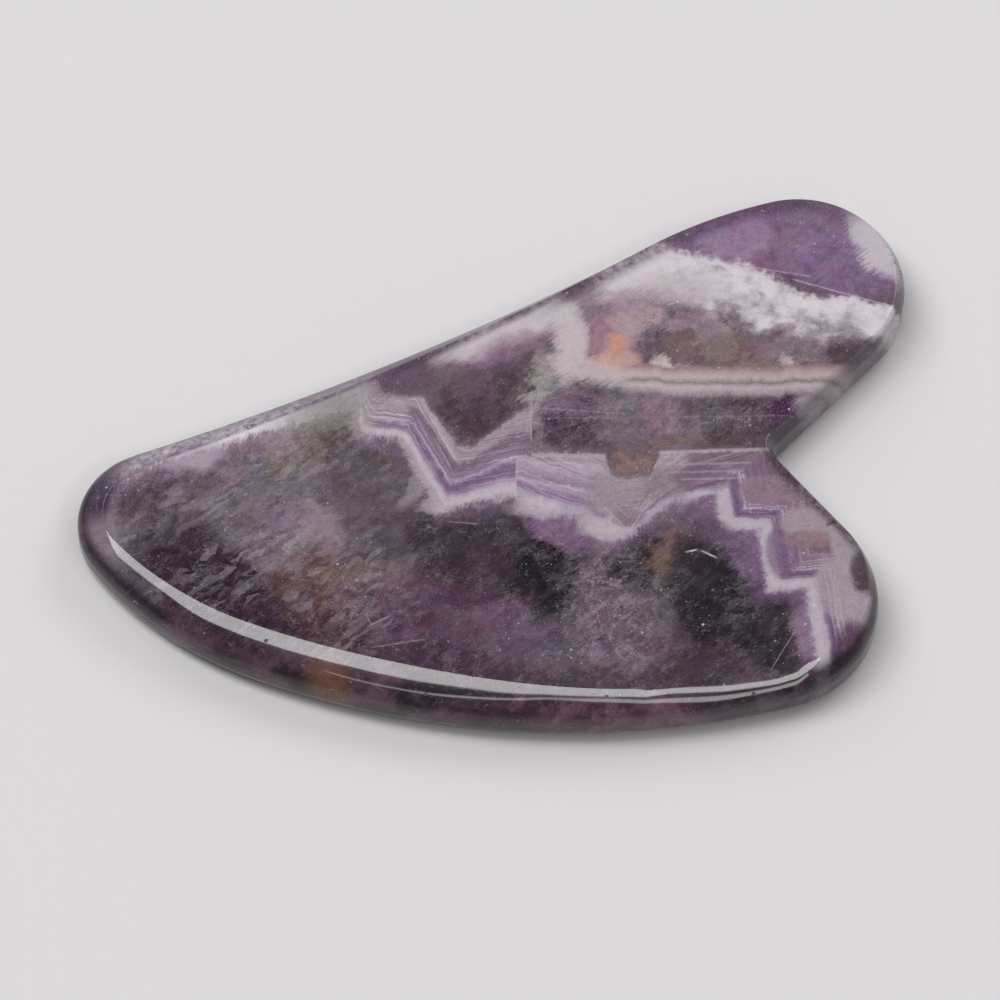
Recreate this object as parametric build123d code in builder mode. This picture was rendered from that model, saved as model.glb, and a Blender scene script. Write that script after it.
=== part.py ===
from build123d import *

from math import acos, atan2, cos, degrees, radians, sin
import os

# Gua sha scraper: one polished stone plate with a blunt tail, a bevelled scraping edge and a notch
# between two lobes. Lengths are millimetres and angles are degrees. The plate lies flat, with +Z up.
# Its outline is drawn around a datum line from the middle of the tail's nose to the root of the notch,
# and the finished plate is then moved so that its bounding box stands centred on the origin.

# Plate
thickness = 6.5

# Tail: a blunt nose that swings into the belly through a wider arc
tail_x = -37.3
tail_radius = 9.1
tail_sweep_radius = 42.0
tail_sweep_start = 210.0  # direction from the nose's centre at which the wider arc takes over

# Belly: the long scraping edge
belly_radius = 92.0

# Lobes on either side of the notch
lower_lobe_x = 27.3
lower_lobe_y = -18.5
lower_lobe_radius = 12.7
upper_lobe_x = 37.3
upper_lobe_y = 21.4
upper_lobe_radius = 11.9

# Back: a shoulder on the upper lobe, then a shallow hollow for the palm
shoulder_radius = 54.0
shoulder_start = 98.0  # direction from the upper lobe's centre at which the shoulder takes over
back_hollow_radius = 350.0

# Notch between the lobes
notch_x = 33.2
notch_radius = 1.8

# Edge, ground alike on both faces
scraping_bevel = 2.7  # width in plan around the tail and at the belly's far end
belly_bevel_turn = 2.5  # extra turn of the face's nose, which widens the bevel along the belly
rim_bevel = 0.9  # width in plan around the lobes and in the notch
bevel_depth = 1.7
side_round = 1.6
crest_round = 0.4


def at(centre, radius, angle):
    """The point at a radius and a direction from a centre."""
    return Vector(centre.X + radius * cos(radians(angle)), centre.Y + radius * sin(radians(angle)))


def heading(start, end):
    """The direction of the end as seen from the start."""
    return degrees(atan2(end.Y - start.Y, end.X - start.X))


def centre_between(first, second, first_reach, second_reach):
    """The point at given reaches from two others, on the left of the line from the first to the second."""
    span = (second - first).length
    along = (span**2 + first_reach**2 - second_reach**2) / (2 * span)
    across = (first_reach**2 - along**2) ** 0.5
    forward = heading(first, second)
    return at(at(first, along, forward), across, forward + 90)


def flank_turn(lobe, lobe_r, notch, notch_r):
    """The angle at a lobe's centre from the notch to where the straight flank leaves the lobe."""
    return degrees(acos((lobe_r + notch_r) / (notch - lobe).length))


def outward_arc(centre, radius, start, end):
    """An arc that bulges out of the plate, drawn anticlockwise."""
    CenterArc(centre, radius, start, (end - start) % 360)


def inward_arc(centre, radius, start, end):
    """An arc that hollows the plate, drawn clockwise."""
    CenterArc(centre, radius, start, -((start - end) % 360))


def draw_outline(scraping_inset=0.0, rim_inset=0.0, extra_turn=0.0):
    """The plate's outline, or one drawn inside it for the edge of a face.

    One inset holds around the tail and belly and another around the lobes and notch. The extra turn carries
    the nose further round before the wider arc takes over.
    """
    mean_inset = (scraping_inset + rim_inset) / 2
    lobe_shift = (scraping_inset - rim_inset) / 2

    nose = Vector(tail_x, 0)
    nose_r = tail_radius - scraping_inset
    sweep_r = tail_sweep_radius - scraping_inset
    sweep_start = tail_sweep_start + extra_turn
    sweep_centre = at(nose, nose_r - sweep_r, sweep_start)

    lower = Vector(lower_lobe_x + lobe_shift, lower_lobe_y + lobe_shift)
    lower_r = lower_lobe_radius - mean_inset
    belly_r = belly_radius - scraping_inset
    belly = centre_between(sweep_centre, lower, belly_r - sweep_r, belly_r - lower_r)

    notch = Vector(notch_x, 0)
    notch_r = notch_radius + rim_inset
    upper = Vector(upper_lobe_x, upper_lobe_y)
    upper_r = upper_lobe_radius - rim_inset
    lower_flank = heading(lower, notch) - flank_turn(lower, lower_r, notch, notch_r)
    upper_flank = heading(upper, notch) + flank_turn(upper, upper_r, notch, notch_r)

    shoulder_r = shoulder_radius - rim_inset
    shoulder = at(upper, upper_r - shoulder_r, shoulder_start)
    hollow_r = back_hollow_radius + rim_inset
    hollow = centre_between(nose, shoulder, hollow_r + nose_r, hollow_r + shoulder_r)

    outward_arc(nose, nose_r, heading(nose, hollow), sweep_start)
    outward_arc(sweep_centre, sweep_r, sweep_start, heading(belly, sweep_centre))
    outward_arc(belly, belly_r, heading(belly, sweep_centre), heading(belly, lower))
    outward_arc(lower, lower_r, heading(belly, lower), lower_flank)
    Line(at(lower, lower_r, lower_flank), at(notch, -notch_r, lower_flank))
    inward_arc(notch, notch_r, lower_flank + 180, upper_flank + 180)
    Line(at(notch, -notch_r, upper_flank), at(upper, upper_r, upper_flank))
    outward_arc(upper, upper_r, upper_flank, shoulder_start)
    outward_arc(shoulder, shoulder_r, shoulder_start, heading(shoulder, hollow))
    inward_arc(hollow, hollow_r, heading(hollow, shoulder), heading(hollow, nose))


with BuildPart() as stone_plate:
    # Straight side wall between the two bevels
    with BuildSketch(Plane.XY.offset(bevel_depth)):
        with BuildLine():
            draw_outline()
        make_face()
    extrude(amount=thickness - 2 * bevel_depth)

    # Bevels, wide on the scraping edge and narrow on the rim
    for side_z, face_z in ((thickness - bevel_depth, thickness), (bevel_depth, 0)):
        with BuildSketch(Plane.XY.offset(side_z)):
            with BuildLine():
                draw_outline()
            make_face()
        with BuildSketch(Plane.XY.offset(face_z)):
            with BuildLine():
                draw_outline(scraping_bevel, rim_bevel, belly_bevel_turn)
            make_face()
        loft(ruled=True)

    # Rounded arrises, along the side wall and around both faces
    for side_z in (bevel_depth, thickness - bevel_depth):
        fillet(stone_plate.edges().filter_by_position(Axis.Z, side_z, side_z), side_round)
    for face_z in (0, thickness):
        fillet(stone_plate.edges().filter_by_position(Axis.Z, face_z, face_z), crest_round)

box = stone_plate.part.bounding_box()
plate = Pos(-box.center().X, -box.center().Y, -box.min.Z) * stone_plate.part
plate.label = "stone_plate"
os.makedirs("parts", exist_ok=True)
export_step(plate, "parts/stone_plate.step")
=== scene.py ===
# %% [markdown]
# # A gua sha scraper cut from banded amethyst
# The real object is one flat slice of stone. A lapidary saws it out, grinds its outline, bevels both
# faces and polishes it by hand. The CAD model gives the exact plate, and this lesson dresses it: a finer
# mesh with the small unevenness of hand work, and a stone that is grown in three dimensions by nodes.

# %% Load the frame
import math

import bpy
import numpy as np
from mathutils import Matrix, Vector
from mathutils.geometry import delaunay_2d_cdt


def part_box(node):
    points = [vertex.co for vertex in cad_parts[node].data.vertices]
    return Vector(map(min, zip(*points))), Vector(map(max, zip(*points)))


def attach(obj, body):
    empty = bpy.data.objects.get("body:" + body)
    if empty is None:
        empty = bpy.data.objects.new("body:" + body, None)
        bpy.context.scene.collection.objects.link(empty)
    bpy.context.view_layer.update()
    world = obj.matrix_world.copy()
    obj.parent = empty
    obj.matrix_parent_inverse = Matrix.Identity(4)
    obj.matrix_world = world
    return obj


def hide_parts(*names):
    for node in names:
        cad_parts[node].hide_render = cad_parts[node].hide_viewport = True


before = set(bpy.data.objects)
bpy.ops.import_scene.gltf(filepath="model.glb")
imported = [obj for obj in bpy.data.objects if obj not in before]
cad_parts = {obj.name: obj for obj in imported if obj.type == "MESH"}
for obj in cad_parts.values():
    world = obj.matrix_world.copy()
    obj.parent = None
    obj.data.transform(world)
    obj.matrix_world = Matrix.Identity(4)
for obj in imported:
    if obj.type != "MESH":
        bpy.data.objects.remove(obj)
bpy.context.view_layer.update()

MM = 0.001
plate_low, plate_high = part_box("stone_plate")
thickness = (plate_high[2] - plate_low[2]) / MM
print("plate thickness:", round(thickness, 2), "mm")

# %% [markdown]
# ## The outline
# The outline is a chain of tangent arcs, as a pair of compasses would draw it: a blunt tail, a long belly,
# two lobes with a notch between them and a hollow back. It could be drawn freely as a curve, but arcs keep
# every radius true. The same chain, drawn with smaller radii, gives the edge of the flat face, so that the
# bevel runs from one to the other. Lengths in this part are millimetres and angles are degrees.

# %% Sizes of the outline
tail_x = -37.3
tail_radius = 9.1
sweep_radius = 42.0
sweep_start = 210.0
belly_radius = 92.0
lower_lobe = (27.3, -18.5)
lower_lobe_radius = 12.7
upper_lobe = (37.3, 21.4)
upper_lobe_radius = 11.9
shoulder_radius = 54.0
shoulder_start = 98.0
hollow_radius = 350.0
notch_x = 33.2
notch_radius = 1.8
scraping_bevel = 2.7
belly_bevel_turn = 2.5
rim_bevel = 0.9
bevel_depth = 1.7
side_round = 1.6
crest_round = 0.4


# %% Draw a chain of arcs
def polar(centre, radius, angle):
    """The point at a radius and a direction from a centre."""
    return centre + radius * Vector((math.cos(math.radians(angle)), math.sin(math.radians(angle))))


def heading(start, end):
    """The direction in degrees from one point to another."""
    return math.degrees(math.atan2(end.y - start.y, end.x - start.x))


def centre_between(first, second, first_reach, second_reach):
    """The point at given reaches from two others, on the left of the line between them."""
    span = (second - first).length
    along = (span**2 + first_reach**2 - second_reach**2) / (2 * span)
    across = math.sqrt(first_reach**2 - along**2)
    forward = heading(first, second)
    return polar(polar(first, along, forward), across, forward + 90)


def flank_turn(lobe, lobe_r, notch, notch_r):
    """The angle at a lobe's centre from the notch to where the straight flank leaves the lobe."""
    return math.degrees(math.acos((lobe_r + notch_r) / (notch - lobe).length))


def chain(scraping_inset, rim_inset, extra_turn):
    """The outline as a list of pieces: arcs (centre, radius, start, sweep) and lines (start, end)."""
    shift = (scraping_inset - rim_inset) / 2
    nose = Vector((tail_x, 0))
    nose_r = tail_radius - scraping_inset
    sweep_r = sweep_radius - scraping_inset
    turn = sweep_start + extra_turn
    sweep = polar(nose, nose_r - sweep_r, turn)
    lower = Vector(lower_lobe) + Vector((shift, shift))
    lower_r = lower_lobe_radius - (scraping_inset + rim_inset) / 2
    belly_r = belly_radius - scraping_inset
    belly = centre_between(sweep, lower, belly_r - sweep_r, belly_r - lower_r)
    notch = Vector((notch_x, 0))
    notch_r = notch_radius + rim_inset
    upper = Vector(upper_lobe)
    upper_r = upper_lobe_radius - rim_inset
    low_flank = heading(lower, notch) - flank_turn(lower, lower_r, notch, notch_r)
    up_flank = heading(upper, notch) + flank_turn(upper, upper_r, notch, notch_r)
    shoulder_r = shoulder_radius - rim_inset
    shoulder = polar(upper, upper_r - shoulder_r, shoulder_start)
    hollow_r = hollow_radius + rim_inset
    hollow = centre_between(nose, shoulder, hollow_r + nose_r, hollow_r + shoulder_r)

    def outward(centre, radius, start, end):
        return (centre, radius, start, (end - start) % 360)

    def inward(centre, radius, start, end):
        return (centre, radius, start, -((start - end) % 360))

    return [
        outward(nose, nose_r, heading(nose, hollow), turn),
        outward(sweep, sweep_r, turn, heading(belly, sweep)),
        outward(belly, belly_r, heading(belly, sweep), heading(belly, lower)),
        outward(lower, lower_r, heading(belly, lower), low_flank),
        (polar(lower, lower_r, low_flank), polar(notch, -notch_r, low_flank)),
        inward(notch, notch_r, low_flank + 180, up_flank + 180),
        (polar(notch, -notch_r, up_flank), polar(upper, upper_r, up_flank)),
        outward(upper, upper_r, up_flank, shoulder_start),
        outward(shoulder, shoulder_r, shoulder_start, heading(shoulder, hollow)),
        inward(hollow, hollow_r, heading(hollow, shoulder), heading(hollow, nose)),
    ]


def piece_length(piece):
    """The length of an arc or a line."""
    if len(piece) == 2:
        return (piece[1] - piece[0]).length
    return piece[1] * abs(math.radians(piece[3]))


def walk(pieces, counts):
    """Evenly spaced points along each piece, with the last point of each left to the next one."""
    points = []
    for piece, count in zip(pieces, counts):
        for t in np.arange(count) / count:
            if len(piece) == 2:
                points.append(piece[0].lerp(piece[1], t))
            else:
                points.append(polar(piece[0], piece[1], piece[2] + piece[3] * t))
    return np.array(points)


# %% Sample the plate's outline and the edge of its face
outline_step = 0.26
least_steps = 4
outer_chain = chain(0.0, 0.0, 0.0)
counts = [max(least_steps, round(piece_length(piece) / outline_step)) for piece in outer_chain]
outer = walk(outer_chain, counts)
face_edge = walk(chain(scraping_bevel, rim_bevel, belly_bevel_turn), counts)
middle_of_box = (outer.min(axis=0) + outer.max(axis=0)) / 2
outer -= middle_of_box
face_edge -= middle_of_box
print("outline points:", len(outer), "length:", round(sum(map(piece_length, outer_chain)), 1), "mm")

# %% [markdown]
# ## A bevel that was ground by hand
# The belly does the scraping, so it was held to the wheel the longest, and its bevel is wider there than
# the arcs alone would make it. The edge of the face is moved inwards along the belly, by an amount that
# swells and fades with soft ends. The first four pieces of the chain scrape: the tail, the sweep behind it,
# the belly and the lower lobe.


# %% Grind the bevel a little wider along the belly
def eased(t):
    """A number held between 0 and 1, with soft ends."""
    t = np.clip(t, 0, 1)
    return t * t * (3 - 2 * t)


wider_from, widest_at, wider_to = -57.0, -17.0, 14.0
wider_by = 1.45
scraping_pieces = 4
scraping_run = sum(counts[:scraping_pieces])
along_belly = outer[:, 0]
ground_off = eased((along_belly - wider_from) / (widest_at - wider_from))
ground_off *= eased((wider_to - along_belly) / (wider_to - widest_at))
ground_off[scraping_run:] = 0
way_in = face_edge - outer
way_in /= np.linalg.norm(way_in, axis=1)[:, None]
face_edge += way_in * (ground_off * wider_by)[:, None]
print("bevel widened by up to", round(float((ground_off * wider_by).max()), 2), "mm")

# %% [markdown]
# ## The ground edge
# Across the edge, the stone turns from the upright wall over a wide arris onto the bevel, and over a sharp
# little crest onto the face. A Bevel modifier could round a plain block, but the bevel's width changes
# around the plate. So the profile is worked out at every point of the outline: three arcs that follow
# each other without a break. The middle one is the bevel. It bulges a few hundredths of a millimetre,
# because a stone held to a wheel by hand never comes out quite flat, and that shapes its highlight.

# %% Work out the profile at each point of the outline
bevel_bulge = 4.2
arris_steps = 9
bevel_steps = 9
crest_steps = 6
wall_steps = 2

inward_way = face_edge - outer
width = np.linalg.norm(inward_way, axis=1)
inward_way /= width[:, None]
tilt = np.arctan2(width, bevel_depth)
bulge = math.radians(bevel_bulge)
face_start = width + crest_round * np.tan((math.pi / 2 - tilt) / 2)
bevel_radius = face_start - side_round * (1 - np.cos(tilt - bulge)) - crest_round * np.cos(tilt + bulge)
bevel_radius /= np.cos(tilt - bulge) - np.cos(tilt + bulge)


def arc_steps(angle_from, angle_to, steps, radius, start):
    """Points of an arc in the profile, from one lean to another, as (distance inward, height)."""
    found = []
    for t in np.arange(1, steps + 1) / steps:
        lean = angle_from + (angle_to - angle_from) * t
        inwards = start[0] + radius * (np.cos(angle_from) - np.cos(lean))
        height = start[1] + radius * (np.sin(lean) - np.sin(angle_from))
        found.append((inwards, height))
    return found


zero = np.zeros_like(width)
arris = arc_steps(zero, tilt - bulge, arris_steps, side_round, (zero, zero))
bevel = arc_steps(tilt - bulge, tilt + bulge, bevel_steps, bevel_radius, arris[-1])
crest = arc_steps(tilt + bulge, zero + math.pi / 2, crest_steps, crest_round, bevel[-1])
wall_top = thickness - crest[-1][1]
mid_height = thickness / 2
up_the_wall = np.arange(wall_steps + 1) / wall_steps
upper_half = [(zero, mid_height + (wall_top - mid_height) * t) for t in up_the_wall]
upper_half += [(inwards, wall_top + height) for inwards, height in arris + bevel + crest]
lower_half = [(inwards, thickness - height) for inwards, height in upper_half[:0:-1]]
profile = lower_half + upper_half
least_wall = float(2 * wall_top.min() - thickness)
print("rings around the plate:", len(profile), "least wall height:", round(least_wall, 2), "mm")

# %% Build the rings and a way to fill a face
rings = []
for inwards, height in profile:
    plan = outer + inward_way * inwards[:, None]
    rings.append(np.column_stack([plan, height]))
n_around = len(outer)
n_rings = len(rings)
face_step = 1.1
keep_inside = 1
merge_distance = 1e-7


def inside(points, polygon):
    """True for each point that lies inside a closed polygon."""
    x, y = points[:, :1], points[:, 1:]
    ax, ay = polygon.T
    bx, by = np.roll(polygon, -1, axis=0).T
    crosses = (ay > y) != (by > y)
    with np.errstate(divide="ignore", invalid="ignore"):
        met = ax + (y - ay) / (by - ay) * (bx - ax)
    return (crosses & (x < met)).sum(axis=1) % 2 == 1


def face_mesh(edge):
    """Fills a face's edge with even triangles and returns the inner points and the triangles."""
    low, high = edge.min(axis=0), edge.max(axis=0)
    rows = []
    for number, y in enumerate(np.arange(low[1], high[1], face_step * math.sqrt(0.75))):
        x = np.arange(low[0] + (number % 2) * face_step / 2, high[0], face_step)
        rows.append(np.column_stack([x, np.full_like(x, y)]))
    grid = np.concatenate(rows)
    grid = grid[inside(grid, edge)]
    gap = np.sqrt(((grid[:, None] - edge[None]) ** 2).sum(axis=2)).min(axis=1)
    far_enough = gap > face_step / 2
    grid, gap = grid[far_enough], gap[far_enough]
    flat = [Vector(p) for p in np.concatenate([edge, grid])]
    made = delaunay_2d_cdt(flat, [], [list(range(len(edge)))], keep_inside, merge_distance)
    source = [origin[0] for origin in made[3]]
    triangles = np.array([[source[i] for i in triangle] for triangle in made[2]])
    return grid, gap, triangles


# %% Join the rings and both faces into one mesh
top_grid, top_gap, top_triangles = face_mesh(rings[-1][:, :2])
face_points = [np.column_stack([top_grid, np.full(len(top_grid), z)]) for z in (thickness, 0.0)]
points = np.concatenate(rings + face_points)
grid_start = n_around * n_rings
quads = []
for ring in range(n_rings - 1):
    here = ring * n_around + np.arange(n_around)
    ahead = np.roll(here, -1)
    quads.append(np.column_stack([here, ahead, ahead + n_around, here + n_around]))
quads = np.concatenate(quads)
on_edge = top_triangles < n_around
in_grid = top_triangles - n_around + grid_start
top_faces = np.where(on_edge, top_triangles + (n_rings - 1) * n_around, in_grid)
low_faces = np.where(on_edge, top_triangles, in_grid + len(top_grid))[:, ::-1]

plate_mesh = bpy.data.meshes.new("stone_body")
faces = quads.tolist() + top_faces.tolist() + low_faces.tolist()
plate_mesh.from_pydata((points * MM).tolist(), [], faces)
plate_mesh.shade_smooth()
stone_body = bpy.data.objects.new("stone_body", plate_mesh)
bpy.context.scene.collection.objects.link(stone_body)
print("points:", len(points), "faces:", len(plate_mesh.polygons), "sound:", not plate_mesh.validate())

# %% [markdown]
# ## Finishing by hand
# A polished stone still shows the hand. Its surface rolls by a few microns, which makes the edges of a
# highlight waver, and tiny nicks sit along the crest, where the grain of the crystal plucked out. Sculpting
# would do it once, but a Geometry Nodes tree keeps it as a rule: the crest's points give the places, a seed
# picks some of them, and every point of the mesh near a nick sinks.

# %% Keep each point's distance from the face's edge
gap_kept = plate_mesh.attributes.new("edge_gap", "FLOAT", "POINT")
gap_kept.data.foreach_set("value", np.concatenate([np.zeros(grid_start), top_gap, top_gap]))
print("largest gap to the edge:", round(float(top_gap.max()), 1), "mm")

# %% Mark the crest that the nicks follow
crest_ring = n_rings - 1 - crest_steps // 2
crest_mark = plate_mesh.attributes.new("crest", "BOOLEAN", "POINT")
marks = np.zeros(len(points), dtype=bool)
marks[crest_ring * n_around : crest_ring * n_around + scraping_run] = True
crest_mark.data.foreach_set("value", marks)
print("crest points:", int(marks.sum()))

# %% [markdown]
# ## Nodes written as sums
# The hand finish and the stone are both trees of nodes, and the stone's has thousands. Each could be added
# and linked one by one in the node editor. Here one class adds any node from its type, its settings and its
# sockets, and a second one wraps a socket, so that sums on it read like the maths that they are.


# %% Helpers for node trees
class Tree:
    """Adds nodes to a tree, in the order in which they are worked out."""

    def __init__(self, tree):
        self.tree = tree

    def node(self, kind, settings=None, sockets=None):
        """Makes a node of a type, applies its settings, then fills or links its sockets."""
        made = self.tree.nodes.new(kind)
        for name, value in (settings or {}).items():
            if name == "stops":
                self.set_stops(made.color_ramp, value)
            else:
                setattr(made, name, value)
        for name, value in (sockets or {}).items():
            socket = self.find(made.inputs, name)
            if isinstance(value, Value):
                self.tree.links.new(value.socket, socket)
            elif isinstance(value, bpy.types.NodeSocket):
                self.tree.links.new(value, socket)
            else:
                socket.default_value = value
        return made

    @staticmethod
    def find(sockets, name):
        """The socket at an index, or with an identifier or a name."""
        if isinstance(name, int):
            return sockets[name]
        for socket in sockets:
            if socket.identifier == name:
                return socket
        return sockets[name]

    @staticmethod
    def set_stops(ramp, stops):
        """Gives a colour ramp its stops, as pairs of a place and a colour."""
        while len(ramp.elements) < len(stops):
            ramp.elements.new(0.5)
        for element, (place, colour) in zip(ramp.elements, stops):
            element.position = place
            element.color = colour

    def value(self, kind, settings=None, sockets=None, out=0):
        """One output of a new node, ready for arithmetic."""
        return Value(self, self.find(self.node(kind, settings, sockets).outputs, out))


class Value:
    """A number in a node tree. Arithmetic on it adds Math nodes."""

    def __init__(self, tree, socket):
        self.tree = tree
        self.socket = socket

    def math(self, operation, first, second=None, third=None):
        """A Math node's answer."""
        given = [entry for entry in (first, second, third) if entry is not None]
        return self.tree.value("ShaderNodeMath", {"operation": operation}, dict(enumerate(given)))

    def __add__(self, other):
        return self.math("ADD", self, other)

    def __radd__(self, other):
        return self.math("ADD", other, self)

    def __sub__(self, other):
        return self.math("SUBTRACT", self, other)

    def __rsub__(self, other):
        return self.math("SUBTRACT", other, self)

    def __mul__(self, other):
        return self.math("MULTIPLY", self, other)

    def __rmul__(self, other):
        return self.math("MULTIPLY", other, self)

    def __truediv__(self, other):
        return self.math("DIVIDE", self, other)

    def __rtruediv__(self, other):
        return self.math("DIVIDE", other, self)

    def __pow__(self, other):
        return self.math("POWER", self, other)

    def __abs__(self):
        return self.math("ABSOLUTE", self)

    def most(self, other):
        """The larger of two numbers."""
        return self.math("MAXIMUM", self, other)

    def above(self, limit):
        """1 where the number is above a limit, otherwise 0."""
        return self.math("GREATER_THAN", self, limit)

    def rise(self, low, high, top=1.0):
        """Climbs smoothly from 0 to its top as the number goes from low to high."""
        sockets = {"Value": self, "From Min": low, "From Max": high, "To Max": top}
        return self.tree.value("ShaderNodeMapRange", {"interpolation_type": "SMOOTHSTEP"}, sockets)


# %% Sizes of the hand finish
finish_sizes = {
    "Wave height": 0.006 * MM,
    "Wave length": 7.0 * MM,
    "Nick share": 0.02,
    "Nick reach": 0.24 * MM,
    "Nick depth": 0.05 * MM,
    "Seed": 11,
}
print("hand finish sizes:", finish_sizes)


# %% Grow the hand finish as a Geometry Nodes tree
def hand_finish_tree(material):
    """A tree that makes the polish roll a little and plucks nicks out of the crest."""
    tree = bpy.data.node_groups.new("hand_finish", "GeometryNodeTree")
    tree.interface.new_socket("Geometry", in_out="INPUT", socket_type="NodeSocketGeometry")
    for name, size in finish_sizes.items():
        kind = "NodeSocketInt" if isinstance(size, int) else "NodeSocketFloat"
        tree.interface.new_socket(name, in_out="INPUT", socket_type=kind)
    tree.interface.new_socket("Geometry", in_out="OUTPUT", socket_type="NodeSocketGeometry")
    grow = Tree(tree)
    given = grow.node("NodeGroupInput").outputs
    wave_length = Value(grow, given["Wave length"])
    nick_reach = Value(grow, given["Nick reach"])

    place = grow.node("GeometryNodeInputPosition").outputs[0]
    normal = grow.node("GeometryNodeInputNormal").outputs["Normal"]
    roll = grow.value("ShaderNodeTexNoise", {}, {"Vector": place, "Scale": 1 / wave_length, "Detail": 1.0})
    rolled = (roll - 0.5) * Value(grow, given["Wave height"])

    is_crest = grow.node("GeometryNodeInputNamedAttribute", {"data_type": "BOOLEAN"}, {"Name": "crest"})
    picked = grow.node(
        "FunctionNodeRandomValue",
        {"data_type": "BOOLEAN"},
        {"Probability": given["Nick share"], "Seed": given["Seed"]},
    )
    chosen = grow.node(
        "FunctionNodeBooleanMath",
        {"operation": "AND"},
        {0: is_crest.outputs["Attribute"], 1: Tree.find(picked.outputs, "Value_003")},
    )
    places = grow.node(
        "GeometryNodeMeshToPoints",
        {},
        {"Mesh": given["Geometry"], "Selection": chosen.outputs[0]},
    )
    near = grow.node(
        "GeometryNodeProximity",
        {"target_element": "POINTS"},
        {"Target": places.outputs[0], "Source Position": place},
    )
    closeness = (1 - Value(grow, near.outputs["Distance"]) / nick_reach).most(0.0)
    roughness = {"Vector": place, "Scale": 2.5 / nick_reach, "Detail": 2.0}
    rough_edge = grow.value("ShaderNodeTexNoise", {}, roughness)
    sunk = closeness * (rough_edge + 0.5) * Value(grow, given["Nick depth"])

    way = grow.node(
        "ShaderNodeVectorMath",
        {"operation": "SCALE"},
        {"Vector": normal, "Scale": rolled - sunk},
    )
    moved = grow.node(
        "GeometryNodeSetPosition",
        {},
        {"Geometry": given["Geometry"], "Offset": way.outputs[0]},
    )
    real = grow.node("GeometryNodeRealizeInstances", {}, {"Geometry": moved.outputs[0]})
    dressed = grow.node("GeometryNodeSetMaterial", {}, {"Geometry": real.outputs[0], "Material": material})
    grow.node("NodeGroupOutput", {}, {"Geometry": dressed.outputs[0]})
    return tree


def finish_by_hand(piece, material):
    """Runs the tree once on a piece and keeps the result as its plain mesh."""
    tree = hand_finish_tree(material)
    modifier = piece.modifiers.new("hand finish", "NODES")
    modifier.node_group = tree
    for item in tree.interface.items_tree:
        if item.in_out == "INPUT" and item.name in finish_sizes:
            modifier[item.identifier] = finish_sizes[item.name]
    evaluated = piece.evaluated_get(bpy.context.evaluated_depsgraph_get())
    finished = bpy.data.meshes.new_from_object(evaluated)
    piece.modifiers.remove(modifier)
    piece.data = finished
    finished.name = "stone_body"


# %% [markdown]
# ## The stone, grown in three dimensions
# Banded amethyst is quartz that grew in pulses. Clear smoky quartz came first, then milky and purple
# layers were laid over its pointed crystals, which is why a cut through them shows chevrons. The pattern
# could be painted on as an image, but then the walls wouldn't match the faces. Here it is a solid texture.
# It reads Object coordinates, turned so that x runs along the growth lines, y climbs across them and z is
# the depth below the upper face, all in millimetres. The bands lean as they go down.


# %% Colours and sums for the stone
def colour(code):
    """A colour as nodes want it, from its six-digit code."""
    channels = [int(code[i : i + 2], 16) / 255 for i in (0, 2, 4)]
    return (*[c / 12.92 if c <= 0.04045 else ((c + 0.055) / 1.055) ** 2.4 for c in channels], 1.0)


amethyst = bpy.data.materials.new("banded_amethyst")
amethyst.use_nodes = True
amethyst.node_tree.nodes.clear()
stone = Tree(amethyst.node_tree)


def vector(operation, first, second):
    """A Vector Math node's answer as a vector."""
    return stone.value("ShaderNodeVectorMath", {"operation": operation}, {0: first, 1: second})


def dot(first, second):
    """The dot product of two vectors."""
    settings = {"operation": "DOT_PRODUCT"}
    return stone.value("ShaderNodeVectorMath", settings, {0: first, 1: second}, out="Value")


def combine(x, y, z):
    """A vector from three numbers."""
    return stone.value("ShaderNodeCombineXYZ", {}, {"X": x, "Y": y, "Z": z})


def split(way):
    """The three numbers of a vector."""
    parts = stone.node("ShaderNodeSeparateXYZ", {}, {0: way}).outputs
    return [Value(stone, part) for part in parts]


def mapped(way, place, turn, sizes):
    """Coordinates in a frame that is moved, turned in plan and stretched to the given sizes."""
    sockets = {"Vector": way, "Location": place, "Rotation": (0, 0, math.radians(turn)), "Scale": sizes}
    return stone.value("ShaderNodeMapping", {"vector_type": "TEXTURE"}, sockets)


def noise(way, size, detail=2.0, roughness=0.5):
    """Cloudy noise from about 0.3 to 0.7, with lumps of about the given size."""
    sockets = {"Vector": way, "Scale": 1 / size, "Detail": detail, "Roughness": roughness}
    return stone.value("ShaderNodeTexNoise", {}, sockets)


def mix(under, over, share, way="MIX"):
    """Lays one colour over another."""
    settings = {"data_type": "RGBA", "blend_type": way}
    sockets = {"Factor_Float": share, "A_Color": under, "B_Color": over}
    return stone.value("ShaderNodeMix", settings, sockets, out="Result_Color")


def tell(what):
    """Prints how many nodes the stone has once a step of it is done."""
    print(what, "- nodes so far:", len(amethyst.node_tree.nodes))


# %% The stone's own coordinates
growth_turn = 7.25
growth_shift = (1.5, -2.6)
lean_along = 0.22
lean_across = -0.30

object_place = stone.value("ShaderNodeTexCoord", out="Object")
in_mm = mapped(object_place, (0, 0, thickness * MM), 0, (MM, MM, MM))
shifted = vector("ADD", in_mm, (*growth_shift, 0))
grown = stone.value(
    "ShaderNodeVectorRotate",
    {"rotation_type": "Z_AXIS"},
    {"Vector": shifted, "Angle": math.radians(growth_turn)},
)
plan_x, plan_y, minus_depth = split(grown)
depth = -1 * minus_depth
X = plan_x + depth * lean_along
Y = plan_y + depth * lean_across
P = combine(X, Y, depth)
tell("stone coordinates")

# %% [markdown]
# ## Ways that wander
# A crystal's layers are nearly straight, a milky cloud is ragged, and the wisps lie somewhere between. One
# set of coordinates can't serve them all, so several are made from the straight one, each bent by a noise
# to its own degree. The clouds are also frayed along fine slanting strands.

# %% Bend the coordinates, a little for the bands and more for the clouds
strand_turn = 38
strand_long = 2.6
strand_thin = 0.24


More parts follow.
